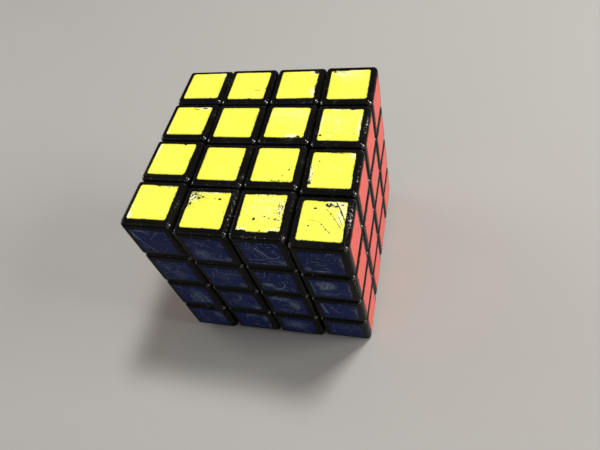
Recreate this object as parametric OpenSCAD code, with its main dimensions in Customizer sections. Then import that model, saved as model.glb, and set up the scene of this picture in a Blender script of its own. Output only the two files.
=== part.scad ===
// 4x4x4 twisty cube: 56 cubies held on a grooved ball core, with 96 stickers.
// Origin at the cube's centre, where its three turning axes meet. +Z is the yellow
// face, -Y the blue face and +X the red face. The four columns, one beside the other
// along X, turn about X. The outer two lie turned a little from the middle two.

/* [Cube] */
// Width of the cube over its plastic, without the stickers
cube_w = 65; // [62:0.5:68]
// Gap between neighbouring cubies
cubie_gap = 0.36; // [0.3:0.02:0.6]
// Rounding of every edge of a cubie
cubie_r = 1.35; // [0.8:0.05:1.7]

/* [How the columns lie] */
// Turn of the left column about X from the two middle ones, in degrees
left_turn = -1.9; // [-3:0.1:3]
// Turn of the right column about X from the two middle ones, in degrees
right_turn = 1.9; // [-3:0.1:3]

/* [Stickers] */
// Width of a sticker
sticker_w = 12; // [10:0.1:12.2]
// Rounding of a sticker's corners
sticker_r = 1; // [0.4:0.1:2]
// Thickness of a sticker
sticker_t = 0.12; // [0.08:0.02:0.3]

/* [Ball core] */
// Radius of the ball over its caps
core_r = 21.5; // [21:0.1:22]
// Thickness of a cap, which is the lip that holds the feet of the centres in
cap_t = 2.5; // [2.3:0.1:2.8]
// Radius of the hub, which is the floor of the grooves
hub_r = 16.5; // [16:0.1:17]
// Half width of a groove between the caps
neck_w = 4.2; // [3.8:0.1:4.6]
// Half width of a groove under the caps
groove_w = 7.2; // [6.8:0.1:7.6]

/* [Feet] */
// Depth of the plastic over the feet at the middle of a face
skin_t = 2.2; // [2:0.1:2.6]
// Distance from the centre to the cut that bounds the feet of the corners
foot_cut = 8; // [7.6:0.1:8.6]
// Running clearance between sliding surfaces of two pieces
play = 0.24; // [0.2:0.02:0.3]

/* [Core screws] */
// Diameter of the screw's shank
screw_d = 2; // [1.6:0.1:2.4]
// Diameter of the screw's head
screw_head_d = 4; // [3.4:0.1:4.4]
// Length of the screw below its head
screw_l = 8.5; // [7:0.5:10]

/* [Hidden] */
$fn = 64;
half = cube_w / 2;
pitch = (cube_w + cubie_gap) / 4;
cubie_w = pitch - cubie_gap;
lo = pitch + cubie_gap / 2;
foot_r = half - skin_t;
floor_r = core_r + play;
cap_under_r = core_r - cap_t;
head_r = core_r - 1.6;
head_h = 1.2;
big = 2 * cube_w;
black = [0.06, 0.06, 0.07];
core_grey = [0.35, 0.35, 0.38];
steel = [0.72, 0.73, 0.75];
yellow = [0.98, 0.98, 0.27];
white = [0.93, 0.93, 0.91];
blue = [0.11, 0.15, 0.37];
green = [0.1, 0.55, 0.25];
red = [0.94, 0.36, 0.32];
orange = [0.98, 0.55, 0.15];

// ---- shared shapes ----

// Square of side w with corners rounded to radius r, from the origin
module round_square(w, r) {
    translate([0, r]) square([w, w - 2 * r]);
    translate([r, 0]) square([w - 2 * r, w]);
    for (x = [r, w - r], y = [r, w - r]) translate([x, y]) circle(r);
}

// Cubie body with all its edges rounded, its lowest corner at the origin. Where the three
// roundings meet, the tip of each corner in the list is cut back to a ball of the same radius.
// A corner is given as 0 or 1 along each axis: the low or the high side.
module round_box(w, r, corners) {
    difference() {
        intersection() {
            linear_extrude(w) round_square(w, r);
            translate([0, w, 0]) rotate([90, 0, 0]) linear_extrude(w) round_square(w, r);
            rotate([90, 0, 90]) linear_extrude(w) round_square(w, r);
        }
        for (c = corners) translate([r, r, r] + c * (w - 2 * r)) difference() {
            translate((c - [1, 1, 1]) * (r + 0.1)) cube(r + 0.1);
            sphere(r);
        }
    }
}
// The corners that lie on a cubie's outside faces: all but the inmost one, those of the faces
// towards +Y and +Z, and those of the face towards +Z
at_corner = [[1, 0, 0], [0, 1, 0], [0, 0, 1], [1, 1, 0], [1, 0, 1], [0, 1, 1], [1, 1, 1]];
at_edge = [[0, 1, 0], [0, 0, 1], [1, 1, 0], [1, 0, 1], [0, 1, 1], [1, 1, 1]];
at_centre = [[0, 0, 1], [1, 0, 1], [0, 1, 1], [1, 1, 1]];

// Puts a piece made in the +X +Y +Z octant into the octant of signs sx, sy, sz
module octant(sx, sy, sz) {
    mirror([sx < 0 ? 1 : 0, 0, 0])
        mirror([0, sy < 0 ? 1 : 0, 0])
            mirror([0, 0, sz < 0 ? 1 : 0])
                children();
}

// Swaps X with Z, or Y with Z
module x_for_z() { mirror([1, 0, -1]) children(); }
module y_for_z() { mirror([0, 1, -1]) children(); }
module x_for_y() { mirror([1, -1, 0]) children(); }

// ---- the three kinds of cubie, made in the +X +Y +Z octant ----

// Corner: a cubie with a ball-shaped foot that hooks under the edges
module corner_piece() {
    color(black) difference() {
        union() {
            translate([lo, lo, lo]) round_box(cubie_w, cubie_r, at_corner);
            translate([lo, lo, lo]) cube(cubie_w / 2);
            intersection() {
                sphere(foot_r);
                translate([1, 1, 1] * (foot_cut + play / 2)) cube(half);
            }
        }
        sphere(floor_r);
    }
}

// Edge: inner in X, outer in Y and Z, with a foot that hooks under the centres
module edge_piece() {
    foot_w = foot_cut - play;
    color(black) difference() {
        union() {
            difference() {
                translate([cubie_gap / 2, lo, lo]) round_box(cubie_w, cubie_r, at_edge);
                sphere(foot_r + play);
            }
            translate([play / 2, lo, lo]) cube([foot_w, cubie_w * 0.6, cubie_w * 0.6]);
            intersection() {
                sphere(foot_r);
                translate([play / 2, foot_cut + play / 2, foot_cut + play / 2])
                    cube([foot_w, half, half]);
            }
        }
        sphere(floor_r);
    }
}

// Centre: inner in X and Y, outer in Z, on a stalk whose foot runs in the core's grooves
module centre_piece() {
    color(black) difference() {
        union() {
            difference() {
                translate([cubie_gap / 2, cubie_gap / 2, lo])
                    round_box(cubie_w, cubie_r, at_centre);
                sphere(foot_r + play);
            }
            intersection() {
                union() {
                    difference() {
                        cylinder(h = foot_r + play + 0.4, r = foot_cut - play);
                        sphere(floor_r);
                    }
                    cylinder(h = half - skin_t - 2, r = neck_w - play);
                    intersection() {
                        cylinder(h = half - skin_t - 4, r = groove_w - play);
                        sphere(cap_under_r - play);
                    }
                }
                translate([play / 2, play / 2, 0]) cube(half);
            }
        }
        sphere(hub_r + play);
    }
}

// ---- the ball core ----

// Points its children along the diagonal of the +X +Y +Z octant
module diagonal() { rotate([0, acos(1 / sqrt(3)), 45]) children(); }

module core_hub() {
    color(core_grey) difference() {
        union() {
            sphere(hub_r);
            for (sx = [-1, 1], sy = [-1, 1], sz = [-1, 1])
                octant(sx, sy, sz) intersection() {
                    sphere(cap_under_r);
                    translate([1, 1, 1] * groove_w) cube(half);
                }
        }
        for (sx = [-1, 1], sy = [-1, 1], sz = [-1, 1])
            octant(sx, sy, sz) diagonal() translate([0, 0, head_r - screw_l - 0.5])
                cylinder(h = half, r = screw_d / 2 + 0.02);
    }
}

module core_caps() {
    color(core_grey)
        for (sx = [-1, 1], sy = [-1, 1], sz = [-1, 1])
            octant(sx, sy, sz) difference() {
                intersection() {
                    sphere(core_r);
                    translate([1, 1, 1] * neck_w) cube(half);
                }
                sphere(cap_under_r + 0.02);
                diagonal() cylinder(h = half, r = screw_d / 2 + 0.1);
                diagonal() translate([0, 0, head_r])
                    cylinder(h = half, r = screw_head_d / 2 + 0.15);
            }
}

// Self-tapping screw with a cross recess in its pan head
module core_screw() {
    translate([0, 0, head_r - screw_l]) cylinder(h = screw_l + 0.2, r = screw_d / 2);
    difference() {
        translate([0, 0, head_r + 0.02]) cylinder(h = head_h, r = screw_head_d / 2);
        for (a = [0, 90])
            rotate([0, 0, a]) translate([-1.2, -0.25, head_r + head_h - 0.6])
                cube([2.4, 0.5, 1]);
    }
}

module core_screws() {
    color(steel)
        for (sx = [-1, 1], sy = [-1, 1], sz = [-1, 1])
            octant(sx, sy, sz) diagonal() core_screw();
}

// ---- cubies by column: sx is -1 for the left half and 1 for the right half ----

// Turns the outer column of one half as it lies
module outer_turn(sx) { rotate([sx < 0 ? left_turn : right_turn, 0, 0]) children(); }

module corner_at(sx, sy, sz) {
    outer_turn(sx) octant(sx, sy, sz) corner_piece();
}

// The two edges of an outer column that run front to back, at the top or the bottom
module edges_lengthwise(sx, sz) {
    outer_turn(sx) for (sy = [-1, 1]) octant(sx, sy, sz) x_for_y() edge_piece();
}

// The two edges of an outer column that stand upright, at the front or the back
module edges_upright(sx, sy) {
    outer_turn(sx) for (sz = [-1, 1]) octant(sx, sy, sz) x_for_z() edge_piece();
}

// The four centres of the left or the right face
module centres_side(sx) {
    outer_turn(sx)
        for (sy = [-1, 1], sz = [-1, 1]) octant(sx, sy, sz) x_for_z() centre_piece();
}

// The one edge of a middle column that runs across, at the top or bottom, front or back
module edge_across(sx, sy, sz) {
    octant(sx, sy, sz) edge_piece();
}

// The two centres of a middle column on the top or the bottom face
module centres_flat(sx, sz) {
    for (sy = [-1, 1]) octant(sx, sy, sz) centre_piece();
}

// The two centres of a middle column on the front or the back face
module centres_wall(sx, sy) {
    for (sz = [-1, 1]) octant(sx, sy, sz) y_for_z() centre_piece();
}

// ---- stickers: one on each outer face of each cubie ----

// Sticker on the top face, over the cell whose middle is at (i + 0.5, j + 0.5) pitches
module sticker(i, j) {
    at = [(i + 0.5) * pitch, (j + 0.5) * pitch] - [1, 1] * sticker_w / 2;
    translate([at[0], at[1], half]) linear_extrude(sticker_t) round_square(sticker_w, sticker_r);
}

// The sixteen stickers of the left or the right face
module stickers_side(sx) {
    outer_turn(sx)
        for (i = [-2:1], j = [-2:1])
            mirror([sx < 0 ? 1 : 0, 0, 0]) x_for_z() sticker(i, j);
}

// The four stickers of column k on the face that lies a degrees about X from the top
module stickers_column(a, k) {
    turn = k == -2 ? left_turn : k == 1 ? right_turn : 0;
    rotate([a + turn, 0, 0])
        for (j = [-2:1]) sticker(k, j);
}

// ---- the nodes ----

corner_at(-1, -1, 1);  // corner_left_top_front
corner_at(-1, 1, 1);  // corner_left_top_back
corner_at(-1, -1, -1);  // corner_left_bottom_front
corner_at(-1, 1, -1);  // corner_left_bottom_back
edges_lengthwise(-1, 1);  // edges_left_top
edges_lengthwise(-1, -1);  // edges_left_bottom
edges_upright(-1, -1);  // edges_left_front
edges_upright(-1, 1);  // edges_left_back
centres_side(-1);  // centres_left

corner_at(1, -1, 1);  // corner_right_top_front
corner_at(1, 1, 1);  // corner_right_top_back
corner_at(1, -1, -1);  // corner_right_bottom_front
corner_at(1, 1, -1);  // corner_right_bottom_back
edges_lengthwise(1, 1);  // edges_right_top
edges_lengthwise(1, -1);  // edges_right_bottom
edges_upright(1, -1);  // edges_right_front
edges_upright(1, 1);  // edges_right_back
centres_side(1);  // centres_right

edge_across(-1, -1, 1);  // edge_mid_left_top_front
edge_across(-1, 1, 1);  // edge_mid_left_top_back
edge_across(-1, -1, -1);  // edge_mid_left_bottom_front
edge_across(-1, 1, -1);  // edge_mid_left_bottom_back
centres_flat(-1, 1);  // centres_mid_left_top
centres_flat(-1, -1);  // centres_mid_left_bottom
centres_wall(-1, -1);  // centres_mid_left_front
centres_wall(-1, 1);  // centres_mid_left_back

edge_across(1, -1, 1);  // edge_mid_right_top_front
edge_across(1, 1, 1);  // edge_mid_right_top_back
edge_across(1, -1, -1);  // edge_mid_right_bottom_front
edge_across(1, 1, -1);  // edge_mid_right_bottom_back
centres_flat(1, 1);  // centres_mid_right_top
centres_flat(1, -1);  // centres_mid_right_bottom
centres_wall(1, -1);  // centres_mid_right_front
centres_wall(1, 1);  // centres_mid_right_back

core_hub();
core_caps();
core_screws();

color(orange) stickers_side(-1);  // stickers_left_orange
color(red) stickers_side(1);  // stickers_right_red
color(yellow) stickers_column(0, -2);  // stickers_left_yellow
color(blue) stickers_column(90, -2);  // stickers_left_blue
color(white) stickers_column(180, -2);  // stickers_left_white
color(green) stickers_column(270, -2);  // stickers_left_green
color(yellow) stickers_column(0, -1);  // stickers_mid_left_yellow
color(blue) stickers_column(90, -1);  // stickers_mid_left_blue
color(white) stickers_column(180, -1);  // stickers_mid_left_white
color(green) stickers_column(270, -1);  // stickers_mid_left_green
color(yellow) stickers_column(0, 0);  // stickers_mid_right_yellow
color(blue) stickers_column(90, 0);  // stickers_mid_right_blue
color(white) stickers_column(180, 0);  // stickers_mid_right_white
color(green) stickers_column(270, 0);  // stickers_mid_right_green
color(yellow) stickers_column(0, 1);  // stickers_right_yellow
color(blue) stickers_column(90, 1);  // stickers_right_blue
color(white) stickers_column(180, 1);  // stickers_right_white
color(green) stickers_column(270, 1);  // stickers_right_green
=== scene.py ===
"""A twisty cube of four layers each way: black plastic cubies held round a hidden ball core, with a vinyl
sticker on every outside face, worn and scratched by years of turning."""
import math

import bpy
import numpy as np
from mathutils import Euler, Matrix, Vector


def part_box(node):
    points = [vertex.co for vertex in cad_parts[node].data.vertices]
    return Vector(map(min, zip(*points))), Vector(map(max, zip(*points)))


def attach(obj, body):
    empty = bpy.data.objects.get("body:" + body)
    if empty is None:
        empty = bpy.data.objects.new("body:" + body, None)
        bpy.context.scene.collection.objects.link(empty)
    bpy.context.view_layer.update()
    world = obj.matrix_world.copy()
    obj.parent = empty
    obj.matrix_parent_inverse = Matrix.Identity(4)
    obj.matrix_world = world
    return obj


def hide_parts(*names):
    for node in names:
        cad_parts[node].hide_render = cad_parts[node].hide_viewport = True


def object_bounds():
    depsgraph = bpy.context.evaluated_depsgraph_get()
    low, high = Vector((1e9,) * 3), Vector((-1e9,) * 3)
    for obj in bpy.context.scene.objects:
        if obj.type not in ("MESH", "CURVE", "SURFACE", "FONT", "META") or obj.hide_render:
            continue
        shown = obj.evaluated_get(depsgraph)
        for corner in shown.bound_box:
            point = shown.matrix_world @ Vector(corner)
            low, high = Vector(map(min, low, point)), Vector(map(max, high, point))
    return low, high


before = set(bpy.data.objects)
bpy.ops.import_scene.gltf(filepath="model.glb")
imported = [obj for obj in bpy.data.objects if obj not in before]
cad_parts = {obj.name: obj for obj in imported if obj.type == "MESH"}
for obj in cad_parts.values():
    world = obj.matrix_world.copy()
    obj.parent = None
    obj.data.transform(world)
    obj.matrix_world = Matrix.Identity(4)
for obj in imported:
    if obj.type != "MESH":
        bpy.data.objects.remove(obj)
cad_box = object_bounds()

# --------------------------------------------------------------------------------------------------
# The cubies: 56 small blocks moulded in glossy black plastic, with rounded edges, snapped together
# inside. Turning rubs their edges hazy and leaves pale scuffs where one column has caught on the next.
# --------------------------------------------------------------------------------------------------
MM = 0.001
CUBE_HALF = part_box("centres_mid_left_top")[1].z  # from the centre to the plastic of a face
PITCH = sum(v.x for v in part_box("stickers_mid_right_yellow"))  # from one cubie's middle to the next
CUBIE_WIDTH = 2 * (CUBE_HALF - 1.5 * PITCH)
TWIST = {"left": math.radians(-1.9), "mid_left": 0.0, "mid_right": 0.0, "right": math.radians(1.9)}

BLACK = (0.0045, 0.0044, 0.0040, 1)
BLACK_DUSTY = (0.018, 0.017, 0.015, 1)
BLACK_SCUFF = (0.56, 0.53, 0.49, 1)

# Where the rounding of an edge and of a corner begins and is full, as shares of the way out from a
# cubie's middle.
EDGE_ROUNDS = (0.875, 0.955)
CORNER_ROUNDS = (0.84, 0.93)

# Where the plastic is scuffed most: middle (mm), reach along x, y and z (mm), strength.
SCUFFS = {
    "left": [((-32, -31, 31), (2.5, 2.5, 2.5), 0.6)],
    "mid_left": [((-0.9, -25, 31.9), (1.2, 8.5, 1.5), 1.0), ((-9, -15.6, 32), (4, 1.6, 1.2), 0.5)],
    "mid_right": [((8.2, -32.0, 31.6), (8.0, 1.3, 1.3), 0.75), ((0.6, -27, 32), (1.0, 6, 1.4), 0.7),
                  ((15.6, -31, 31.5), (1.5, 3, 2), 0.8)],
    "right": [((31.5, -24.6, 31.6), (1.2, 8.2, 1.5), 2.3), ((31.7, -10, 32.2), (1.3, 6.5, 1.5), 1.0),
              ((31.7, 7, 32.8), (1.3, 6.5, 1.5), 1.1), ((24, -15.4, 32.2), (7.5, 1.4, 1.6), 0.6),
              ((24, 1.0, 32.9), (7.5, 1.4, 1.6), 0.55), ((31.5, -32.4, 14), (1.8, 1.8, 3), 0.5)],
}


class Wire:
    """One output of a material's nodes. Sums on wires add Math nodes, and node() adds any other kind."""

    def __init__(self, tree, socket=None):
        self.tree, self.socket = tree, socket

    def node(self, kind, settings=None, sockets=None, out=0):
        """A new node. Its settings come first, then its inputs, by name or number: values or wires."""
        made = self.tree.nodes.new(kind)
        for key, value in (settings or {}).items():
            setattr(made, key, value)
        for key, value in (sockets or {}).items():
            if isinstance(value, Wire):
                self.tree.links.new(value.socket, made.inputs[key])
            else:
                made.inputs[key].default_value = value
        return Wire(self.tree, made.outputs[out] if made.outputs else None)

    def sum(self, operation, *values):
        return self.node("ShaderNodeMath", {"operation": operation}, dict(enumerate(values)))

    def __add__(self, other):
        return self.sum("ADD", self, other)

    def __sub__(self, other):
        return self.sum("SUBTRACT", self, other)

    def __rsub__(self, other):
        return self.sum("SUBTRACT", other, self)

    def __mul__(self, other):
        return self.sum("MULTIPLY", self, other)

    def __abs__(self):
        return self.sum("ABSOLUTE", self)

    __radd__, __rmul__ = __add__, __mul__

    def least(self, other):
        return self.sum("MINIMUM", self, other)

    def most(self, other):
        return self.sum("MAXIMUM", self, other)

    def step(self, low, high):
        """Rises smoothly from 0 at low to 1 at high."""
        return self.node("ShaderNodeMapRange", {"interpolation_type": "SMOOTHSTEP"},
                         {"Value": self, "From Min": low, "From Max": high})

    def mix(self, colour_0, colour_1):
        """The first colour where this is 0, the second where it is 1."""
        return self.node("ShaderNodeMix", {"data_type": "RGBA"}, {0: self, 6: colour_0, 7: colour_1}, out=2)

    def noise(self, per_metre, detail=3.0, rough=0.55):
        """Cloudy noise round 0.5 on this vector, with that many humps in a metre."""
        return self.node("ShaderNodeTexNoise", {}, {"Vector": self, "Scale": per_metre, "Detail": detail,
                                                    "Roughness": rough})

    def vector(self, operation, *values, out=0):
        return self.node("ShaderNodeVectorMath", {"operation": operation}, dict(enumerate(values)), out)

    def axes(self):
        """The three numbers that make up this vector."""
        split = self.node("ShaderNodeSeparateXYZ", {}, {0: self})
        return [Wire(self.tree, output) for output in split.socket.node.outputs]

    def bump(self, strength, distance):
        """A normal that takes this as its height."""
        return self.node("ShaderNodeBump", {}, {"Height": self, "Strength": strength, "Distance": distance})


def paint(name):
    """A new material with no nodes, and the wire that its nodes start from."""
    material = bpy.data.materials.new(name)
    material.use_nodes = True
    material.node_tree.nodes.clear()
    return material, Wire(material.node_tree)


def lay_on(start, **sockets):
    """The Principled shader with these inputs, wired to the material's output."""
    names = {key.replace("_", " "): value for key, value in sockets.items()}
    shader = start.node("ShaderNodeBsdfPrincipled", {}, names)
    start.node("ShaderNodeOutputMaterial", {}, {"Surface": shader})


def black_plastic(column):
    """Gloss black for one column's cubies. With q the distance from a cubie's middle in half widths,
    along each axis, the middle one of the three q's nears 1 on a rounded edge, and the least one on a
    rounded corner."""
    material, start = paint("cubie_black_" + column)
    place = start.node("ShaderNodeTexCoord", out="Object")
    straight = start.node("ShaderNodeMapping", {}, {"Vector": place, "Rotation": (-TWIST[column], 0, 0)})
    cell = start.vector("FRACTION", start.vector("MULTIPLY", straight, (1 / PITCH,) * 3))
    q = start.vector("ABSOLUTE", start.vector("SUBTRACT", cell, (0.5, 0.5, 0.5)))
    qx, qy, qz = (axis * (2 * PITCH / CUBIE_WIDTH) for axis in q.axes())
    edge = qx.least(qy).most(qx.most(qy).least(qz)).step(*EDGE_ROUNDS)
    corner = qx.least(qy).least(qz).step(*CORNER_ROUNDS)

    # rubbing: a little on every edge and corner, more in patches, and most where a column has caught
    spots = 0.0
    for centre, reach, strength in SCUFFS[column]:
        away = start.vector("DIVIDE", start.vector("SUBTRACT", place, tuple(c * MM for c in centre)),
                            tuple(r * MM for r in reach))
        spots = (1 - start.vector("LENGTH", away, out="Value").step(0.2, 1.0)) * strength + spots

    patches = place.noise(140, 4, 0.6).step(0.50, 0.66)
    rub = edge * (0.30 * patches + 0.10) + corner * 0.15 + spots * 0.36 * (0.5 + 0.5 * edge)

    # what it leaves: pale specks where it is strong, and stray hairlines along one contour of a noise
    scuff = (place.noise(2300, 3, 0.7) + rub * 0.30).step(0.70, 0.80)
    hair = 1 - abs(place.noise(520, 2, 0.4) - 0.5).step(0.0, 0.012)
    hairlines = hair * place.noise(260, 2).step(0.54, 0.66) * (0.10 + 0.35 * rub)

    # the finish: dust in a faint haze, and a clear shine on the corners
    haze = place.noise(70, 3, 0.6)
    colour = (haze.step(0.42, 0.72) * 0.25 + rub * 0.15).mix(BLACK, BLACK_DUSTY)
    colour = scuff.most(hairlines).mix(colour, BLACK_SCUFF)
    roughness = 0.14 + 0.13 * haze + 0.10 * rub + 0.30 * scuff
    polish = (corner + edge * 0.03).least(1.0) * (1 - scuff)
    ripple = place.noise(380, 2, 0.4) * 0.28 + scuff * 0.25 - hairlines * 0.4
    lay_on(start, Base_Color=colour, Roughness=roughness, Normal=ripple.bump(0.35, 0.08 * MM),
           Specular_IOR_Level=0.025, Coat_Weight=polish, Coat_Roughness=0.05, Coat_IOR=2.6)
    return material


def column_of(node):
    """left, mid_left, mid_right or right, from a node's name."""
    middle = "mid_" if "_mid_" in node else ""
    return middle + ("left" if "left" in node else "right")


blacks = {column: black_plastic(column) for column in TWIST}
for node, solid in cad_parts.items():
    if node.startswith(("corner", "edge", "centres")):
        solid.material_slots[0].material = blacks[column_of(node)]

# --------------------------------------------------------------------------------------------------
# The core: a hub and eight caps of plain grey plastic, moulded with a satin grain and greased, and the
# eight plated steel screws that hold the caps on. It shows only through the gaps between the cubies.
# --------------------------------------------------------------------------------------------------
CORE_GREY = (0.115, 0.117, 0.122, 1)
CORE_GREY_RUBBED = (0.19, 0.19, 0.195, 1)
STEEL = (0.56, 0.57, 0.59, 1)
STEEL_DULL = (0.33, 0.33, 0.34, 1)


def core_plastic():
    """Satin grey: a fine moulded grain, with shinier rings where the cubies' feet have slid."""
    material, start = paint("core_grey_plastic")
    place = start.node("ShaderNodeTexCoord", out="Object")
    radius = start.vector("LENGTH", place, out="Value")
    slid = radius.step(19.5 * MM, 21.3 * MM) * place.noise(180, 3).step(0.42, 0.62)
    grain = place.noise(5200, 3, 0.6)
    colour = (0.55 * slid + 0.3 * place.noise(300, 4) - 0.1).mix(CORE_GREY, CORE_GREY_RUBBED)
    lay_on(start, Base_Color=colour, Roughness=0.52 - 0.2 * slid + 0.1 * grain,
           Normal=grain.bump(0.3, 0.05 * MM))
    return material


def screw_steel():
    """Plated steel: fine turning marks round it, and dull patches in the plating."""
    material, start = paint("screw_plated_steel")
    place = start.node("ShaderNodeTexCoord", out="Object")
    marks = start.vector("MULTIPLY", place, (1.0, 1.0, 9.0)).noise(2600, 2, 0.5)
    dull = place.noise(900, 3, 0.6).step(0.46, 0.62)
    lay_on(start, Base_Color=dull.mix(STEEL, STEEL_DULL), Metallic=1.0,
           Roughness=0.24 + 0.16 * marks + 0.15 * dull, Normal=marks.bump(0.25, 0.02 * MM))
    return material


core_material = core_plastic()
for node in ("core_hub", "core_caps"):
    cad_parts[node].material_slots[0].material = core_material
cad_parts["core_screws"].material_slots[0].material = screw_steel()

# --------------------------------------------------------------------------------------------------
# The stickers: 96 squares of thin satin vinyl with round corners, die-cut and pressed onto the cubies by
# hand. Rims have frayed, ink has flaked off pale, and grit has left black nicks and pale hairlines.
# --------------------------------------------------------------------------------------------------
# Lengths in this section are in mm, up to where a sticker is pressed on.
THICK = 0.12
CORNER = 0.75  # radius of a sticker's corners
SUNK = 0.02  # how far the glued side reaches into the plastic
ROLL = 0.16  # how far in from its rim a sticker reaches its full thickness
FRAY_REACH = 0.9  # how far in a sticker is pulled where its rim has frayed
RIM_BAND_REACH = 0.7  # width of the band inside the rim that is drawn darker and nicked more
NICK_DEEP, RUB_DEEP, SCRATCH_DEEP = 0.075, 0.018, 0.012
FINE_BITES, COARSE_BITES = 34, 9  # bites in the length of a frayed rim
HAIR_PIECES = 5  # straight pieces that make up a curved hairline
HAND_SHIFT, HAND_TILT = 0.06, 0.008  # how far off a sticker is pressed on, in mm and in radians
SIDES = ("left", "right", "low", "high")

# Each colour of vinyl: a sticker's width, the grid cells across it, the hairlines on it, how frayed its rim
# is, its colour where it is clean, where it is drawn darker, and where it is rubbed pale, and how light the
# bottom of a nick is.
VINYL = {
    "yellow": dict(width=12.25, cells=84, hairs=14, fray=0.10,
                   clean=(0.93, 0.915, 0.085, 1), darker=(0.58, 0.61, 0.045, 1),
                   rubbed=(0.86, 0.87, 0.52, 1), nicked=0.012),
    "blue": dict(width=11.75, cells=96, hairs=58, fray=0.07,
                 clean=(0.006, 0.016, 0.105, 1), darker=(0.005, 0.010, 0.048, 1),
                 rubbed=(0.27, 0.35, 0.42, 1), nicked=0.004),
    "red": dict(width=11.6, cells=48, hairs=12, fray=0.06,
                clean=(0.88, 0.100, 0.078, 1), darker=(0.76, 0.100, 0.075, 1),
                rubbed=(0.80, 0.42, 0.36, 1), nicked=0.01),
    "orange": dict(width=12.1, cells=40, hairs=14, fray=0.08,
                   clean=(0.90, 0.24, 0.018, 1), darker=(0.80, 0.19, 0.02, 1),
                   rubbed=(0.88, 0.60, 0.42, 1), nicked=0.01),
    "white": dict(width=12.1, cells=40, hairs=16, fray=0.08,
                  clean=(0.78, 0.78, 0.76, 1), darker=(0.66, 0.65, 0.61, 1),
                  rubbed=(0.86, 0.86, 0.85, 1), nicked=0.02),
    "green": dict(width=12.1, cells=40, hairs=18, fray=0.07,
                  clean=(0.012, 0.30, 0.050, 1), darker=(0.010, 0.22, 0.040, 1),
                  rubbed=(0.34, 0.56, 0.38, 1), nicked=0.008),
}

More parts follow.
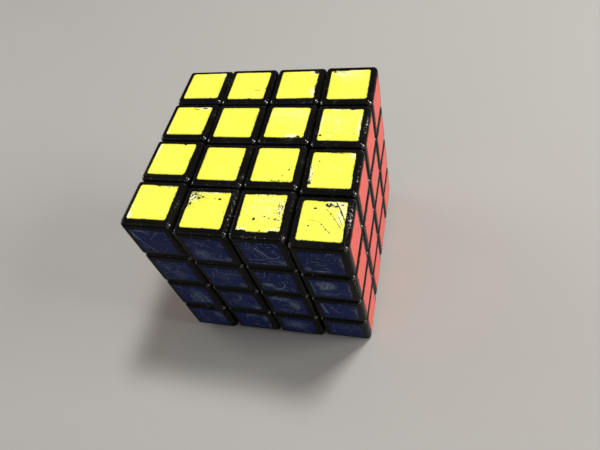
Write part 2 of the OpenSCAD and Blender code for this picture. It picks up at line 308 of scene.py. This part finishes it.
# Wear that can be told apart, by colour, then (row, column). Rows count from the back or the top, and
# columns from the left. Places are shares of the sticker, from its left and its low edge.
#   ("pale" or "dark", u, v, reach along u, reach along v, strength): a patch rubbed pale, or a nick.
#   ("pale line" or "dark line", width in mm, strength, (u, v), (u, v), ...): a scratch.
#   ("grit", u, v, reach along u, reach along v, strength): many tiny nicks scattered over a patch.
#   ("rag", side, from, to, depth in mm): a stretch of rim that has frayed or peeled back.
WEAR = {
    "yellow": {
        (1, 1): [("pale", 0.97, 0.93, 0.16, 0.16, 0.9), ("rag", "right", 0.8, 1, 0.25)],
        (1, 2): [("dark line", 0.28, 0.75, (0.7, 0.325), (0.77, 0.315), (0.84, 0.325)),
                 ("dark line", 0.18, 0.45, (0.14, 0.42), (0.16, 0.33)), ("rag", "right", 0.0, 0.4, 0.15)],
        (1, 3): [("dark", 0.97, 0.97, 0.12, 0.1, 1.3), ("grit", 0.9, 0.95, 0.15, 0.1, 1.1),
                 ("grit", 0.97, 0.35, 0.06, 0.4, 1.2), ("pale", 0.88, 0.93, 0.16, 0.12, 0.8),
                 ("rag", "right", 0.1, 0.9, 0.45), ("pale", 0.95, 0.25, 0.13, 0.3, 1.0),
                 ("rag", "low", 0.55, 1, 0.28), ("dark", 0.99, 0.42, 0.04, 0.05, 1.0)],
        (1, 4): [("pale", 0.5, 0.85, 0.6, 0.4, 0.45), ("grit", 0.25, 0.96, 0.3, 0.06, 1.2),
                 ("rag", "high", 0.0, 0.45, 0.5), ("pale", 0.3, 0.9, 0.34, 0.14, 0.95),
                 ("pale", 0.52, 0.78, 0.14, 0.1, 0.55), ("pale", 0.65, 0.96, 0.4, 0.06, 0.7),
                 ("dark", 0.1, 0.95, 0.05, 0.04, 0.9)],
        (2, 1): [("pale", 0.82, 0.95, 0.3, 0.09, 1.1), ("rag", "high", 0.45, 1, 0.35),
                 ("dark line", 0.39, 0.6, (0.5, 0.95), (0.56, 0.9), (0.64, 0.91)),
                 ("dark", 0.8, 0.95, 0.1, 0.03, 0.8), ("pale", 0.03, 0.06, 0.1, 0.16, 0.7),
                 ("pale", 0.02, 0.5, 0.05, 0.5, 0.5)],
        (2, 2): [("pale", 0.01, 0.6, 0.03, 0.4, 0.4)],
        (2, 3): [("pale", 0.45, 0.6, 0.9, 0.6, 0.36),
                 ("pale line", 0.55, 1.0, (0.05, 0.8), (0.3, 0.86), (0.6, 0.84), (0.95, 0.7)),
                 ("pale line", 0.6, 0.95, (0.1, 0.9), (0.4, 0.93), (0.7, 0.91), (0.95, 0.82)),
                 ("pale line", 0.5, 0.8, (0.25, 0.72), (0.5, 0.76), (0.8, 0.68)),
                 ("pale", 0.68, 0.05, 0.2, 0.12, 1.25), ("rag", "low", 0.5, 1, 0.4),
                 ("rag", "right", 0.0, 0.25, 0.3), ("dark", 0.86, 0.04, 0.06, 0.05, 0.9),
                 ("dark", 0.06, 0.7, 0.015, 0.02, 0.7)],
        (2, 4): [("pale", 0.45, 0.6, 0.8, 0.6, 0.38), ("grit", 0.98, 0.5, 0.05, 0.5, 1.1),
                 ("grit", 0.6, 0.98, 0.4, 0.04, 1.0), ("rag", "high", 0.3, 0.95, 0.3),
                 ("rag", "right", 0, 1, 0.42), ("pale", 0.02, 0.5, 0.07, 0.5, 0.8),
                 ("pale", 0.5, 0.97, 0.45, 0.06, 0.8), ("pale", 0.96, 0.45, 0.08, 0.5, 0.8),
                 ("dark", 0.85, 0.22, 0.022, 0.02, 0.9), ("dark", 0.06, 0.16, 0.05, 0.04, 0.8),
                 ("dark", 0.72, 0.98, 0.06, 0.03, 0.9), ("pale", 0.28, 0.14, 0.13, 0.08, 0.5)],
        (3, 1): [("pale", 0.03, 0.75, 0.07, 0.35, 0.85), ("dark", 0.7, 0.985, 0.04, 0.04, 1.0),
                 ("pale", 0.04, 0.95, 0.08, 0.08, 0.9), ("rag", "high", 0.5, 0.9, 0.18)],
        (3, 2): [("pale", 0.55, 0.92, 0.2, 0.04, 0.4)],
        (3, 3): [("dark", 0.86, 0.36, 0.02, 0.045, 1.0), ("dark", 0.74, 0.18, 0.035, 0.02, 0.8),
                 ("dark", 0.9, 0.44, 0.015, 0.02, 0.7), ("rag", "low", 0.5, 0.9, 0.2),
                 ("grit", 0.62, 0.03, 0.35, 0.035, 1.3), ("rag", "right", 0.1, 0.5, 0.18)],
        (3, 4): [("grit", 0.03, 0.3, 0.09, 0.4, 1.3), ("grit", 0.6, 0.98, 0.5, 0.03, 1.1),
                 ("pale", 0.03, 0.3, 0.1, 0.45, 1.0), ("dark", 0.04, 0.14, 0.05, 0.06, 0.9),
                 ("dark", 0.18, 0.74, 0.025, 0.025, 1.1), ("dark", 0.08, 0.4, 0.015, 0.015, 0.8),
                 ("pale", 0.95, 0.93, 0.12, 0.12, 0.9), ("rag", "high", 0.2, 1, 0.22),
                 ("rag", "right", 0.2, 1, 0.3), ("rag", "left", 0.0, 0.5, 0.3),
                 ("pale", 0.7, 0.45, 0.18, 0.3, 0.28)],
        (4, 1): [("pale", 0.03, 0.1, 0.1, 0.18, 1.3), ("pale", 0.03, 0.4, 0.04, 0.4, 0.6),
                 ("rag", "high", 0.4, 1, 0.45), ("pale", 0.8, 0.96, 0.25, 0.05, 0.7),
                 ("rag", "right", 0.3, 1, 0.22), ("grit", 0.75, 0.965, 0.4, 0.04, 1.5),
                 ("rag", "low", 0.4, 0.8, 0.2)],
        (4, 2): [("pale", 0.1, 0.84, 0.17, 0.22, 1.05), ("pale", 0.45, 0.97, 0.45, 0.06, 0.95),
                 ("grit", 0.09, 0.8, 0.14, 0.22, 1.3), ("grit", 0.1, 0.92, 0.2, 0.1, 1.4),
                 ("grit", 0.27, 0.83, 0.16, 0.08, 1.3), ("grit", 0.07, 0.64, 0.1, 0.12, 1.6),
                 ("dark", 0.24, 0.81, 0.045, 0.03, 0.9), ("dark", 0.33, 0.85, 0.03, 0.03, 0.95),
                 ("grit", 0.5, 0.97, 0.7, 0.035, 1.4),
                 ("dark line", 0.21, 0.6, (0.3, 0.83), (0.42, 0.81), (0.5, 0.82)),
                 ("dark", 0.76, 0.8, 0.05, 0.03, 1.2), ("dark", 0.64, 0.81, 0.02, 0.02, 0.8),
                 ("rag", "high", 0, 1, 0.35), ("rag", "left", 0.5, 1, 0.4),
                 ("dark", 0.95, 0.45, 0.02, 0.05, 0.6), ("rag", "low", 0.6, 0.9, 0.2)],
        (4, 3): [("pale", 0.55, 0.6, 0.9, 0.8, 0.42), ("dark", 0.35, 0.33, 0.035, 0.045, 1.35),
                 ("dark", 0.58, 0.4, 0.03, 0.02, 0.75), ("dark", 0.69, 0.36, 0.02, 0.035, 0.75),
                 ("dark", 0.83, 0.34, 0.025, 0.045, 0.85), ("grit", 0.88, 0.55, 0.12, 0.34, 1.25),
                 ("dark", 0.85, 0.7, 0.018, 0.05, 0.8), ("dark", 0.9, 0.5, 0.02, 0.04, 0.8),
                 ("dark", 0.94, 0.66, 0.02, 0.05, 0.8), ("grit", 0.1, 0.04, 0.14, 0.06, 0.8),
                 ("grit", 0.86, 0.04, 0.16, 0.06, 0.8), ("grit", 0.975, 0.5, 0.045, 0.5, 1.2),
                 ("pale", 0.93, 0.55, 0.12, 0.48, 0.85), ("rag", "right", 0, 1, 0.38),
                 ("rag", "low", 0.0, 0.24, 0.95), ("pale", 0.1, 0.06, 0.22, 0.07, 1.2),
                 ("rag", "low", 0.74, 1.0, 0.85), ("pale", 0.84, 0.06, 0.24, 0.07, 1.2),
                 ("rag", "high", 0.0, 1.0, 0.35), ("grit", 0.5, 0.97, 0.8, 0.035, 1.4),
                 ("dark", 0.55, 0.04, 0.02, 0.03, 0.8), ("pale", 0.5, 0.97, 0.4, 0.04, 0.7)],
        (4, 4): [("dark", 0.54, 0.9, 0.035, 0.045, 1.2), ("dark", 0.59, 0.87, 0.05, 0.03, 1.3),
                 ("dark", 0.62, 0.92, 0.03, 0.045, 1.2), ("dark", 0.66, 0.9, 0.03, 0.02, 1.0),
                 ("grit", 0.59, 0.89, 0.16, 0.09, 0.9), ("grit", 0.8, 0.88, 0.16, 0.09, 0.75),
                 ("grit", 0.92, 0.6, 0.1, 0.3, 0.55), ("dark", 0.3, 0.8, 0.05, 0.03, 0.95),
                 ("dark", 0.75, 0.87, 0.06, 0.035, 1.0), ("dark", 0.87, 0.91, 0.05, 0.02, 0.8),
                 ("dark line", 0.28, 0.95, (0.74, 0.97), (0.86, 0.77), (0.985, 0.53)),
                 ("dark line", 0.23, 0.72, (0.55, 0.79), (0.68, 0.66), (0.8, 0.5), (0.93, 0.33)),
                 ("dark", 0.66, 0.67, 0.03, 0.02, 0.9), ("dark", 0.76, 0.55, 0.025, 0.02, 0.8),
                 ("dark line", 0.18, 0.8, (0.8, 0.68), (0.88, 0.52), (0.97, 0.36)),
                 ("dark line", 0.18, 0.75, (0.84, 0.76), (0.93, 0.6), (0.99, 0.47)),
                 ("dark line", 0.21, 0.62, (0.2, 0.5), (0.33, 0.5), (0.44, 0.46), (0.52, 0.4)),
                 ("dark line", 0.23, 0.75, (0.5, 0.42), (0.6, 0.3), (0.72, 0.2)),
                 ("dark", 0.5, 0.41, 0.025, 0.02, 0.9), ("dark", 0.6, 0.3, 0.025, 0.02, 0.8),
                 ("dark", 0.22, 0.36, 0.025, 0.025, 0.95), ("dark", 0.2, 0.25, 0.018, 0.018, 0.8),
                 ("pale", 0.9, 0.68, 0.16, 0.34, 1.0), ("pale", 0.74, 0.96, 0.28, 0.07, 0.9),
                 ("pale", 0.66, 0.82, 0.1, 0.06, 0.7), ("rag", "high", 0.3, 1, 0.35),
                 ("rag", "right", 0.2, 1, 0.3)],
    },
    "blue": {
        (1, 1): [("pale line", 0.21, 0.8, (0.03, 0.8), (0.1, 0.6), (0.2, 0.35), (0.33, 0.12)),
                 ("pale line", 0.16, 0.6, (0.02, 0.92), (0.1, 0.72), (0.15, 0.6)),
                 ("pale", 0.05, 0.8, 0.1, 0.3, 0.5),
                 ("pale line", 0.18, 0.7, (0.18, 0.96), (0.38, 0.9), (0.52, 0.8)),
                 ("pale", 0.35, 0.95, 0.3, 0.07, 0.6)],
        (1, 2): [("pale", 0.3, 0.3, 0.3, 0.3, 0.65), ("pale", 0.92, 0.1, 0.14, 0.16, 0.8),
                 ("pale", 0.55, 0.08, 0.5, 0.1, 0.5)],
        (1, 3): [("pale line", 0.26, 1.1, (0.38, 0.76), (0.4, 0.66), (0.52, 0.52), (0.6, 0.36), (0.7, 0.3)),
                 ("pale line", 0.18, 0.9, (0.7, 0.3), (0.82, 0.34), (0.9, 0.46)),
                 ("pale line", 0.21, 0.7, (0.08, 0.22), (0.25, 0.2), (0.45, 0.23)),
                 ("pale line", 0.18, 0.7, (0.55, 0.16), (0.75, 0.2), (0.95, 0.12)),
                 ("pale", 0.93, 0.12, 0.2, 0.18, 0.9), ("pale", 0.5, 0.04, 0.5, 0.06, 0.6),
                 ("pale", 0.25, 0.7, 0.25, 0.25, 0.35)],
        (1, 4): [("pale", 0.13, 0.16, 0.11, 0.15, 0.9),
                 ("pale line", 0.21, 0.7, (0.3, 0.1), (0.5, 0.08), (0.62, 0.12)),
                 ("pale", 0.45, 0.08, 0.35, 0.08, 0.65),
                 ("pale line", 0.18, 0.6, (0.5, 0.42), (0.62, 0.46)), ("pale", 0.98, 0.5, 0.04, 0.5, 0.7)],
        (2, 1): [("pale", 0.55, 0.3, 0.3, 0.25, 0.45), ("pale", 0.3, 0.7, 0.2, 0.2, 0.35)],
        (2, 2): [("pale", 0.85, 0.15, 0.2, 0.16, 0.6), ("pale", 0.45, 0.6, 0.35, 0.35, 0.3)],
        (2, 3): [("pale line", 0.59, 0.75, (0.12, 0.35), (0.22, 0.28), (0.32, 0.32)),
                 ("pale", 0.24, 0.3, 0.2, 0.14, 0.9),
                 ("pale line", 0.21, 0.8, (0.32, 0.22), (0.48, 0.12), (0.62, 0.2), (0.7, 0.42), (0.64, 0.56)),
                 ("pale", 0.5, 0.1, 0.3, 0.1, 0.5)],
        (2, 4): [("pale", 0.4, 0.68, 0.34, 0.3, 0.95), ("pale", 0.04, 0.5, 0.06, 0.5, 0.8),
                 ("pale line", 0.29, 0.8, (0.18, 0.82), (0.3, 0.6), (0.24, 0.46), (0.4, 0.52), (0.44, 0.8)),
                 ("pale line", 0.29, 0.8, (0.44, 0.8), (0.52, 0.6), (0.6, 0.72), (0.52, 0.84), (0.36, 0.78)),
                 ("pale", 0.97, 0.5, 0.05, 0.5, 0.8), ("pale", 0.35, 0.2, 0.3, 0.14, 0.5)],
        (3, 1): [("pale line", 0.2, 0.8, (0.45, 0.82), (0.62, 0.6), (0.68, 0.3), (0.6, 0.12)),
                 ("pale line", 0.2, 0.8, (0.55, 0.85), (0.75, 0.66), (0.86, 0.4), (0.84, 0.15)),
                 ("pale line", 0.18, 0.7, (0.4, 0.3), (0.55, 0.55), (0.8, 0.75)),
                 ("pale line", 0.18, 0.6, (0.35, 0.12), (0.6, 0.2), (0.9, 0.16)),
                 ("pale", 0.65, 0.4, 0.35, 0.4, 0.5)],
        (3, 2): [("pale", 0.88, 0.14, 0.18, 0.18, 0.75), ("pale", 0.4, 0.4, 0.4, 0.4, 0.25)],
        (3, 3): [("pale", 0.35, 0.9, 0.4, 0.12, 0.9), ("pale", 0.7, 0.6, 0.2, 0.4, 0.75),
                 ("pale line", 0.33, 0.6, (0.1, 0.85), (0.45, 0.8), (0.7, 0.6), (0.78, 0.3)),
                 ("pale", 0.35, 0.2, 0.35, 0.12, 0.4)],
        (3, 4): [("pale line", 0.39, 0.8, (0.07, 0.92), (0.1, 0.6), (0.16, 0.35)),
                 ("pale", 0.97, 0.55, 0.05, 0.45, 0.8)],
        (4, 1): [("pale", 0.85, 0.72, 0.2, 0.3, 0.6)],
        (4, 2): [("pale", 0.92, 0.75, 0.14, 0.28, 0.65), ("pale", 0.6, 0.92, 0.4, 0.1, 0.5)],
        (4, 3): [("pale", 0.45, 0.55, 0.45, 0.35, 0.8)],
        (4, 4): [("pale", 0.45, 0.65, 0.3, 0.2, 0.35)],
    },
    "red": {
        (1, 1): [("dark", 0.8, 0.44, 0.03, 0.03, 1.2), ("dark", 0.84, 0.53, 0.025, 0.03, 1.1),
                 ("dark", 0.74, 0.36, 0.03, 0.02, 0.9)],
        (2, 1): [("dark", 0.45, 0.62, 0.02, 0.02, 0.9), ("dark", 0.52, 0.7, 0.015, 0.02, 0.8)],
        (2, 2): [("dark", 0.8, 0.4, 0.02, 0.02, 0.9)],
    },
}


def patch(u, v, at_u, at_v, reach_u, reach_v):
    """A soft spot: 1 - ((u - a) / p)^2 - ((v - b) / q)^2, cut off below 0."""
    return np.clip(1 - ((u - at_u) / reach_u) ** 2 - ((v - at_v) / reach_v) ** 2, 0, 1)


def strokes(x, y, ends, widths, strengths):
    """Straight scratches, all at once. For a scratch from a to b and a point p, with
    t = (p - a).(b - a) / |b - a|^2 kept in 0..1, the distance is d = |p - a - t (b - a)|. The mark is
    strength * (1 - d / width), cut off below 0."""
    ends = np.asarray(ends, float)[:, :, None]
    ax, ay, bx, by = ends[:, 0], ends[:, 1], ends[:, 2] - ends[:, 0], ends[:, 3] - ends[:, 1]
    px, py = x[None] - ax, y[None] - ay
    t = np.clip((px * bx + py * by) / (bx**2 + by**2 + 1e-9), 0, 1)
    d = np.hypot(px - t * bx, py - t * by)
    return (np.asarray(strengths)[:, None] * np.clip(1 - d / np.asarray(widths)[:, None], 0, 1)).max(axis=0)


def hairlines(rng, count, width):
    """Random curved scratches, as short straight pieces: each starts anywhere, and turns by its own angle
    at every join. Gives the ends, widths and strengths that strokes() takes."""
    start = rng.uniform(-0.55, 0.55, (count, 2)) * width
    heading = rng.uniform(0, 2 * np.pi, count)
    turn = rng.normal(0, 0.10, count)
    step = rng.exponential(0.24, count) + 0.05
    headings = heading[:, None] + turn[:, None] * np.arange(HAIR_PIECES)
    moves = np.stack([np.cos(headings), np.sin(headings)], -1) * step[:, None, None]
    joins = np.concatenate([start[:, None], start[:, None] + moves.cumsum(axis=1)], axis=1)
    ends = np.concatenate([joins[:, :-1], joins[:, 1:]], -1).reshape(-1, 4)
    widths, strengths = rng.uniform(0.09, 0.17, count), rng.beta(1.2, 2.0, count)
    return ends, np.repeat(widths, HAIR_PIECES), np.repeat(strengths, HAIR_PIECES)


def sticker(colour, marks, seed):
    """One sticker lying on z = 0, as points, triangles and its wear.

    u and v run over a grid from 0 to 1, and x = (u - 1/2) w, y = (v - 1/2) w. In a square of side CORNER
    at each corner, a point p from that square's inner corner moves to p * max(px, py) / |p|, which rounds
    the corner. A frayed side moves in by its depth there times (1 - e / FRAY_REACH)^2 at e from that side.
    The height is THICK * (1 - (1 - d / ROLL)^2 / 1.6) at d from the rim, less each kind of wear times how
    deep that kind goes. The rim drops as a wall to a glued side at z = -SUNK."""
    width, cells, hair_count, fray = (VINYL[colour][key] for key in ("width", "cells", "hairs", "fray"))
    rng = np.random.default_rng(seed)
    line = np.linspace(0, 1, cells + 1)
    u, v = (g.ravel() for g in np.meshgrid(line, line))
    x, y = (u - 0.5) * width, (v - 0.5) * width
    rim = width / 2 - np.maximum(abs(x), abs(y))

    # wear, before the outline changes the points
    pale, dark, scratch = np.zeros_like(u), np.zeros_like(u), np.zeros_like(u)
    frayed = dict.fromkeys(SIDES, fray)
    for mark, *facts in marks:
        if mark == "rag":
            side, begin, end, depth = facts
            along = np.clip(1.15 - abs(line - (begin + end) / 2) / ((end - begin) / 2), 0, 0.3) / 0.3
            frayed[side] = np.maximum(frayed[side], depth * along)
        elif mark == "grit":
            at_u, at_v, reach_u, reach_v, strength = facts
            grains = int(30 + 2500 * reach_u * reach_v)
            at = (rng.normal(0, 0.45, (grains, 2)) * (reach_u, reach_v) + (at_u, at_v) - 0.5) * width
            ends = np.hstack([at, at + rng.normal(0, 0.07, (grains, 2))])
            dark = np.maximum(dark, strokes(x, y, ends, rng.uniform(0.07, 0.20, grains),
                                            strength * rng.random(grains) ** 0.6))
        elif mark.endswith("line"):
            thick, strength, *points = facts
            at = (np.array(points) - 0.5) * width
            ends = np.hstack([at[:-1], at[1:]])
            drawn = strokes(x, y, ends, [thick] * len(ends), [strength] * len(ends))
            if mark.startswith("pale"):
                scratch = np.maximum(scratch, drawn)
            else:
                dark = np.maximum(dark, drawn)
        else:
            *place, strength = facts
            if mark == "pale":
                pale = np.maximum(pale, strength * patch(u, v, *place))
            else:
                dark = np.maximum(dark, strength * patch(u, v, *place) ** 0.6)
    scratch = np.maximum(scratch, strokes(x, y, *hairlines(rng, hair_count, width)))
    few = hair_count // 3 + 2
    at = rng.uniform(-0.5, 0.5, (few, 2)) * width
    dark = np.maximum(dark, 0.55 * strokes(x, y, np.hstack([at, at]), rng.uniform(0.08, 0.2, few),
                                           rng.uniform(0.3, 0.9, few)))

    # the rounded corners
    straight = width / 2 - CORNER
    px, py = np.maximum(abs(x) - straight, 0), np.maximum(abs(y) - straight, 0)
    both = (px > 0) & (py > 0)
    pull = np.where(both, np.maximum(px, py) / np.maximum(np.hypot(px, py), 1e-9), 1)
    x = np.where(both, np.sign(x) * (straight + px * pull), x)
    y = np.where(both, np.sign(y) * (straight + py * pull), y)

    # the frayed rim
    for side in SIDES:
        upright = side in ("left", "right")
        sign = 1 if side in ("left", "low") else -1
        across, along = (u, v) if upright else (v, u)
        from_side = (across if sign > 0 else 1 - across) * width
        bites = sum(share * np.interp(line, np.linspace(0, 1, number), rng.random(number))
                    for share, number in ((0.6, FINE_BITES), (0.4, COARSE_BITES)))
        depth = np.interp(along, line, bites * frayed[side])
        inward = depth * np.clip(1 - from_side / FRAY_REACH, 0, 1) ** 2
        x, y = (x + sign * inward, y) if upright else (x, y + sign * inward)
        bared = np.clip(1 - from_side / (0.35 + 1.2 * depth), 0, 1)
        pale = np.maximum(pale, np.clip(depth * 1.8, 0, 0.85) * bared)

    # the height
    z = THICK * (1 - np.clip(1 - rim / ROLL, 0, 1) ** 2 / 1.6)
    for cut, worn in ((NICK_DEEP, dark), (RUB_DEEP, pale), (SCRATCH_DEEP, scratch)):
        z = z - cut * np.clip(worn, 0, 1)

    # the top, the wall round it, and a fan that closes the glued side
    n = cells + 1
    grid = np.arange(n * n).reshape(n, n)
    a, b, c, d = grid[:-1, :-1].ravel(), grid[:-1, 1:].ravel(), grid[1:, 1:].ravel(), grid[1:, :-1].ravel()
    top = np.vstack([np.stack([a, b, c], -1), np.stack([a, c, d], -1)])
    around = np.concatenate([grid[0, :-1], grid[:-1, -1], grid[-1, :0:-1], grid[:0:-1, 0]])
    foot = n * n + np.arange(len(around))
    after, foot_after = np.roll(around, -1), np.roll(foot, -1)
    wall = np.vstack([np.stack([around, foot, foot_after], -1), np.stack([around, foot_after, after], -1)])
    middle = np.full(len(around), n * n + len(around))
    faces = np.vstack([top, wall, np.stack([middle, foot_after, foot], -1)])
    glued = np.stack([x[around], y[around], np.full(len(around), -SUNK)], -1)
    points = np.vstack([np.stack([x, y, z], -1), glued, [[0, 0, -SUNK]]])
    rim_band = np.clip(1 - rim / RIM_BAND_REACH, 0, 1)
    wear = {"pale": pale, "dark": dark, "scratch": scratch, "rim_band": rim_band}
    wear = {key: np.concatenate([value, value[around], [0]]) for key, value in wear.items()}
    return points, faces, wear


def vinyl(colour):
    """Satin vinyl in one colour. The mesh's own wear says roughly where it is rubbed, nicked or
    scratched, and fine noise breaks the edges of each mark up, so that they stay sharp."""
    clean, darker, rubbed, nicked = (VINYL[colour][key] for key in ("clean", "darker", "rubbed", "nicked"))
    nick_colour = (nicked, nicked * 0.95, nicked * 0.8, 1)
    material, start = paint("vinyl_" + colour)
    place = start.node("ShaderNodeTexCoord", out="Object")
    pale, dark, scratch, rim_band = (start.node("ShaderNodeAttribute", {"attribute_name": key}, out="Fac")
                                  for key in ("pale", "dark", "scratch", "rim_band"))
    fine, coarse = place.noise(2900, 5, 0.7), place.noise(620, 4, 0.6)

    # rubs: dark ink comes off as a web of fine hairs, light ink in mottled flakes
    deep = colour in ("blue", "green")
    if deep:
        worms = 1 - abs(place.noise(1300, 3, 0.6) - 0.5).step(0.0, 0.045)
        flaked = pale.step(0.0, 0.8) * (worms * 0.9).most(fine.step(0.50, 0.66))
    else:
        mottle = (fine - 0.5) * 4.5 + (coarse - 0.5) * 3.0
        flaked = (pale + mottle * (pale * 0.9 + 0.08).least(0.8)).step(0.25, 1.05) * pale.step(0.0, 0.15)

    # nicks near the rim, more of them in the band inside it, and scratches broken up along their length
    dark = dark.most((rim_band * 0.75 + (fine - 0.5) * 2.2 + (coarse - 0.5) * 2.0).step(0.75, 1.05) * 0.7)
    nicks = (dark + (fine - 0.5) * (dark * 3.6).least(2.6) + (coarse - 0.5) * dark).step(0.34, 0.50)
    lined = scratch * (0.2 + 2.6 * (fine - 0.32)) * (1.4 if deep else 0.6)

    # the colour, from the clean ink up, then the finish
    cloud = place.noise(110, 4, 0.55)
    # the ink is drawn darker in random clouds and in a band inside the rim
    body = (cloud.step(0.40, 0.75) * 0.45 + rim_band * 0.75 * (0.4 + fine)).mix(clean, darker)
    worn = lined.least(1.0).mix(body, rubbed)
    worn = (flaked * (0.85 if deep else 0.88)).mix(worn, rubbed)
    colour_now = nicks.mix(worn, nick_colour)
    smear = place.noise(240, 4, 0.6)
    roughness = 0.30 + 0.16 * smear + 0.22 * flaked + 0.20 * lined + 0.15 * nicks
    surface = place.noise(3400, 3, 0.6) * 0.10 + place.noise(420, 2, 0.4) * 0.35
    height = surface - flaked * 0.25 - lined * 0.45 - nicks * 0.6
    lay_on(start, Base_Color=colour_now, Roughness=roughness, Normal=height.bump(0.45, 0.06 * MM),
           Specular_IOR_Level=0.04 if deep else 0.4)
    return material


def press_on(name, colour, node, column, places):
    """One piece of all a node's stickers. places gives, for each sticker, its (row, column), its middle
    on the face in metres, and the face's own directions u, v and outward n; the column's twist about X
    then turns it."""
    points, faces, wear, count = [], [], {}, 0
    cos, sin = math.cos(TWIST[column]), math.sin(TWIST[column])
    twist = np.array([[1, 0, 0], [0, cos, -sin], [0, sin, cos]])
    for cell, middle, u, v, n in places:
        seed = 1000 * (list(VINYL).index(colour) + 1) + 10 * cell[0] + cell[1]
        flat, tris, marks = sticker(colour, WEAR.get(colour, {}).get(cell, ()), seed)
        rng = np.random.default_rng(seed + 7)
        tilt, (shift_u, shift_v) = rng.normal(0, HAND_TILT), rng.normal(0, HAND_SHIFT, 2)
        x = flat[:, 0] * math.cos(tilt) - flat[:, 1] * math.sin(tilt) + shift_u
        y = flat[:, 0] * math.sin(tilt) + flat[:, 1] * math.cos(tilt) + shift_v
        placed = middle + MM * (x[:, None] * u + y[:, None] * v + flat[:, 2:] * n)
        points.append(placed @ twist.T)
        faces.append(tris + count)
        count += len(flat)
        for key, value in marks.items():
            wear.setdefault(key, []).append(value)
    mesh = bpy.data.meshes.new(name)
    mesh.from_pydata(np.vstack(points), [], np.vstack(faces))
    mesh.polygons.foreach_set("use_smooth", np.ones(len(mesh.polygons), bool))
    for key, value in wear.items():
        worn = np.concatenate(value).astype(np.float32)
        mesh.attributes.new(key, "FLOAT", "POINT").data.foreach_set("value", worn)
    mesh.materials.append(vinyls[colour])
    mesh.update()
    piece = bpy.data.objects.new(name, mesh)
    bpy.context.collection.objects.link(piece)
    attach(piece, column + "_column")
    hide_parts(node)


vinyls = {colour: vinyl(colour) for colour in VINYL}
X, Y, Z = np.eye(3)
offsets = (np.arange(4) - 1.5) * PITCH
for colour, v, n in (("yellow", Y, Z), ("blue", Z, -Y), ("white", -Y, -Z), ("green", Z, Y)):
    for number, column in enumerate(TWIST):
        u = np.cross(v, n)
        places = [((4 - k, number + 1), n * CUBE_HALF + X * offsets[number] + v * offsets[k], u, v, n)
                  for k in range(4)]
        press_on(f"vinyl_{column}_{colour}", colour, f"stickers_{column}_{colour}", column, places)
for colour, column, u, n in (("orange", "left", -Y, -X), ("red", "right", Y, X)):
    places = [((4 - k, j + 1), n * CUBE_HALF + u * offsets[j] + Z * offsets[k], u, Z, n)
              for j in range(4) for k in range(4)]
    press_on(f"vinyl_{column}_{colour}", colour, f"stickers_{column}_{colour}", column, places)

# --------------------------------------------------------------------------------------------------
# The studio: a pale matt table top that the cube stands on, four soft lights, a pale room and the
# camera. None of it belongs to the cube.
# --------------------------------------------------------------------------------------------------
FLOOR_PALE = (0.39, 0.38, 0.365, 1)
FLOOR_SHADE = (0.355, 0.345, 0.33, 1)
ROOM_COLOUR, ROOM_STRENGTH = (1.0, 0.99, 0.97, 1), 0.15
LENS = 30.702  # mm, over a sensor 36 mm wide
EYE = (0.05478, -0.09534, 0.13869)  # metres from the cube's centre
AIM = (34.113, 11.353, 11.439)  # degrees about X, Y and Z


def studio_floor():
    """A wide disc just under the cube, x = r cos(a), y = r sin(a), matt and very slightly uneven in tone."""
    rings, spokes = np.array([0.12, 0.4, 1.5, 4.0]), 96
    angle = np.linspace(0, 2 * np.pi, spokes, endpoint=False)
    low = cad_box[0].z
    xy = rings[:, None, None] * np.stack([np.cos(angle), np.sin(angle)], -1)
    flat = xy.reshape(-1, 2)
    points = np.vstack([[[0, 0, low]], np.concatenate([flat, np.full((len(flat), 1), low)], 1)])
    ring = 1 + np.arange(spokes * len(rings)).reshape(len(rings), spokes)
    after = np.roll(ring, -1, axis=1)
    fan = [(0, int(p), int(q)) for p, q in zip(ring[0], after[0])]
    quads = np.stack([ring[:-1], ring[1:], after[1:], after[:-1]], -1).reshape(-1, 4).tolist()
    mesh = bpy.data.meshes.new("studio_floor")
    mesh.from_pydata(points.tolist(), [], fan + quads)
    material, start = paint("studio_floor")
    tone = start.node("ShaderNodeTexCoord", out="Object").noise(9, 4, 0.6).step(0.3, 0.7)
    lay_on(start, Base_Color=(tone * 0.25).mix(FLOOR_PALE, FLOOR_SHADE), Roughness=0.75)
    mesh.materials.append(material)
    floor = bpy.data.objects.new("studio_floor", mesh)
    bpy.context.collection.objects.link(floor)


def soft_light(name, place, size, watts, colour):
    """A square light of that size in metres, facing the cube's centre."""
    light = bpy.data.lights.new(name, "AREA")
    light.shape, light.size, light.energy, light.color = "SQUARE", size, watts, colour
    lamp = bpy.data.objects.new(name, light)
    lamp.location = place
    lamp.rotation_euler = (-Vector(place)).to_track_quat("-Z", "Y").to_euler()
    bpy.context.collection.objects.link(lamp)


studio_floor()
soft_light("back_light", (0.24, 0.24, 0.82), 0.15, 6.2, (1.0, 0.985, 0.95))
soft_light("right_light", (0.85, 0.05, 0.42), 0.45, 5.6, (1.0, 0.96, 0.92))
soft_light("front_light", (-0.48, -0.67, 0.57), 0.60, 0.7, (0.97, 0.985, 1.0))
soft_light("left_light", (-0.84, 0.22, 0.34), 0.60, 3.0, (1.0, 0.985, 0.96))
world = bpy.data.worlds.new("pale_room")
bpy.context.scene.world = world
world.use_nodes = True
background = world.node_tree.nodes["Background"]
background.inputs["Color"].default_value = ROOM_COLOUR
background.inputs["Strength"].default_value = ROOM_STRENGTH

camera = bpy.data.cameras.new("camera")
camera.sensor_width, camera.lens = 36.0, LENS
camera.clip_start, camera.clip_end = 0.01, 20.0
viewer = bpy.data.objects.new("camera", camera)
viewer.location = EYE
viewer.rotation_euler = Euler([math.radians(a) for a in AIM], "XYZ")
bpy.context.collection.objects.link(viewer)
bpy.context.scene.camera = viewer
bpy.context.scene.view_settings.view_transform = "Standard"
